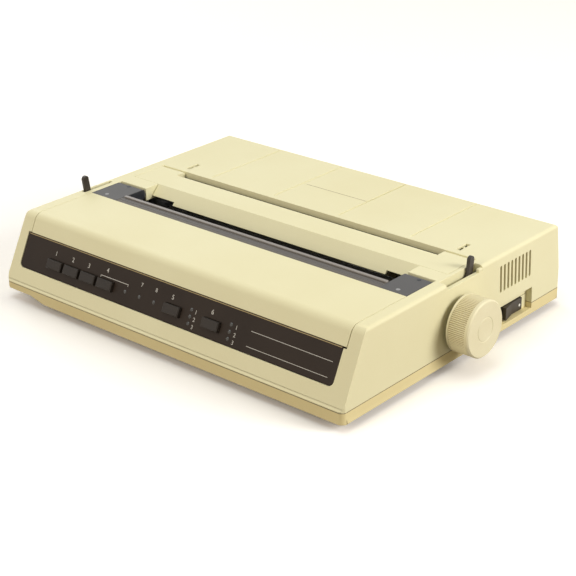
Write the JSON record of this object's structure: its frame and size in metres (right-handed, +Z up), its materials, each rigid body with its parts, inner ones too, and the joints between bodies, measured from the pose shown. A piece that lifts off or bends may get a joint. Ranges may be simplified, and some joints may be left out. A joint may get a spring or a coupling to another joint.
{
  "type": "dot matrix printer",
  "caption": "Low desktop dot matrix printer with hinged window cover, paper flap, geared platen, tractor, carriage, bail, levers and pressable keys.",
  "frame": {"origin": "middle of the bottom of the whole model's box, on the desk", "axes": "+X to the printer's right seen from the front, +Y to the rear, +Z up"},
  "size_m": [0.383, 0.275, 0.0834],
  "materials": {
    "upper_shell": "fine grain",
    "lower_shell": "fine grain",
    "dark_panel": "satin",
    "window": "smoked, clear",
    "slate": "satin",
    "key_black": "satin",
    "lens": "clear",
    "knob": "ribbed",
    "foot": "matt",
    "steel": "zinc plated",
    "roller": "ground",
    "gear": "smooth",
    "brass_gear": "machined",
    "aluminium": "cast",
    "ribbon": "inked",
    "board": "coated",
    "core": "lacquered",
    "contact": "plated"
  },
  "bodies": {
    "case": {"lower_case": "lower_shell", "upper_case": "upper_shell", "rear_cover": "upper_shell", "rubber_feet": "foot", "case_screws": "steel", "control_panel": "dark_panel", "panel_board": "board", "indicator_lenses": "lens", "chassis_tray": "steel", "side_frame_left": "steel", "side_frame_right": "steel", "platen_bushes": "gear", "paper_pan": "steel", "tractor_bar": "steel", "tractor_guides": "key_black", "line_feed_motor": "steel", "carriage_shaft": "steel", "guide_rail": "steel", "carriage_motor": "steel", "timing_belt": "roller", "main_board": "board", "transformer": "core", "switch_body": "key_black", "power_inlet": "key_black", "interface_connector": "contact"},
    "cover": {"access_cover": "upper_shell", "cover_window": "window", "cover_end_plates": "slate"},
    "flap": {"paper_flap": "upper_shell"},
    "platen": {"platen_roller": "roller", "platen_shaft": "steel", "platen_gear": "gear", "paper_knob": "knob"},
    "tractor": {"tractor_shaft": "steel", "tractor_gear": "gear", "sprocket_wheels": "key_black"},
    "middle_gear": {"middle_gear": "gear"},
    "pinion": {"motor_pinion": "brass_gear"},
    "bail": {"bail_frame": "steel", "bail_rollers": "roller", "bail_lever": "key_black"},
    "release": {"release_lever": "key_black"},
    "pressure": {"pressure_shaft": "steel", "pressure_rollers": "roller"},
    "carriage": {"carriage": "key_black", "print_head": "aluminium", "ribbon_cartridge": "key_black", "ink_ribbon": "ribbon"},
    "ribbon_knob": {"ribbon_knob": "knob"},
    "motor_pulley": {"motor_pulley": "gear"},
    "idler_pulley": {"idler_pulley": "gear"},
    "rocker": {"power_rocker": "key_black"},
    "line_feed_key": {"line_feed_key": "key_black"},
    "form_feed_key": {"form_feed_key": "key_black"},
    "top_set_key": {"top_set_key": "key_black"},
    "online_key": {"online_key": "key_black"},
    "pitch_key": {"pitch_key": "key_black"},
    "style_key": {"style_key": "key_black"}
  },
  "joints": [
    {"name": "cover_hinge", "type": "hinge", "parent": "case", "child": "cover", "pos_m": [-0.0108, -0.0205, 0.0655], "axis": [-1, 0, 0], "range_deg": [0, 75]},
    {"name": "flap_hinge", "type": "hinge", "parent": "case", "child": "flap", "pos_m": [-0.0108, 0.0318, 0.067], "axis": [-1, 0, 0], "range_deg": [0, 80]},
    {"name": "platen_spin", "type": "hinge", "parent": "case", "child": "platen", "pos_m": [-0.009, -0.0018, 0.036], "axis": [1, 0, 0], "continuous": true},
    {"name": "tractor_spin", "type": "hinge", "parent": "case", "child": "tractor", "pos_m": [-0.009, 0.02874, 0.04712], "axis": [1, 0, 0], "continuous": true},
    {"name": "middle_gear_spin", "type": "hinge", "parent": "case", "child": "middle_gear", "pos_m": [-0.1595, 0.02639, 0.02574], "axis": [1, 0, 0], "continuous": true},
    {"name": "pinion_spin", "type": "hinge", "parent": "case", "child": "pinion", "pos_m": [-0.1595, 0.0451, 0.02904], "axis": [1, 0, 0], "continuous": true},
    {"name": "bail_swing", "type": "hinge", "parent": "case", "child": "bail", "pos_m": [-0.0115, -0.0275, 0.02], "axis": [-1, 0, 0], "range_deg": [0, 25]},
    {"name": "release_swing", "type": "hinge", "parent": "case", "child": "release", "pos_m": [0.1615, -0.0018, 0.036], "axis": [1, 0, 0], "range_deg": [0, 50]},
    {"name": "pressure_swing", "type": "hinge", "parent": "case", "child": "pressure", "pos_m": [-0.009, 0.0125, 0.015], "axis": [1, 0, 0], "range_deg": [-1, 5]},
    {"name": "carriage_slide", "type": "slide", "parent": "case", "child": "carriage", "axis": [1, 0, 0], "range_m": [0, 0.203]},
    {"name": "ribbon_knob_spin", "type": "hinge", "parent": "carriage", "child": "ribbon_knob", "pos_m": [-0.132, -0.0561, 0.05], "axis": [0, 0, 1], "continuous": true},
    {"name": "motor_pulley_spin", "type": "hinge", "parent": "case", "child": "motor_pulley", "pos_m": [-0.135, -0.0695, 0.033], "axis": [0, 0, 1], "range_deg": [-1960, 10]},
    {"name": "idler_pulley_spin", "type": "hinge", "parent": "case", "child": "idler_pulley", "pos_m": [0.122, -0.0695, 0.033], "axis": [0, 0, 1], "range_deg": [-1960, 10]},
    {"name": "rocker_tilt", "type": "hinge", "parent": "case", "child": "rocker", "pos_m": [0.1574, 0.0745, 0.0168], "axis": [0, 0, 1], "range_deg": [-12, 0]},
    {"name": "line_feed_press", "type": "slide", "parent": "case", "child": "line_feed_key", "axis": [0, 0.8949, -0.4462], "range_m": [0, 0.0015], "stiffness_N_per_m": 200},
    {"name": "form_feed_press", "type": "slide", "parent": "case", "child": "form_feed_key", "axis": [0, 0.8949, -0.4462], "range_m": [0, 0.0015], "stiffness_N_per_m": 200},
    {"name": "top_set_press", "type": "slide", "parent": "case", "child": "top_set_key", "axis": [0, 0.8949, -0.4462], "range_m": [0, 0.0015], "stiffness_N_per_m": 200},
    {"name": "online_press", "type": "slide", "parent": "case", "child": "online_key", "axis": [0, 0.8949, -0.4462], "range_m": [0, 0.0015], "stiffness_N_per_m": 200},
    {"name": "pitch_press", "type": "slide", "parent": "case", "child": "pitch_key", "axis": [0, 0.8949, -0.4462], "range_m": [0, 0.0015], "stiffness_N_per_m": 200},
    {"name": "style_press", "type": "slide", "parent": "case", "child": "style_key", "axis": [0, 0.8949, -0.4462], "range_m": [0, 0.0015], "stiffness_N_per_m": 200}
  ],
  "couplings": [
    {"joint": "tractor_spin", "follows": "platen_spin", "ratio": -1.2414},
    {"joint": "middle_gear_spin", "follows": "platen_spin", "ratio": -1.5},
    {"joint": "pinion_spin", "follows": "platen_spin", "ratio": 2.5714},
    {"joint": "pressure_swing", "follows": "release_swing", "ratio": 0.08},
    {"joint": "motor_pulley_spin", "follows": "carriage_slide", "rad_per_m": -166.67},
    {"joint": "idler_pulley_spin", "follows": "carriage_slide", "rad_per_m": -166.67}
  ]
}
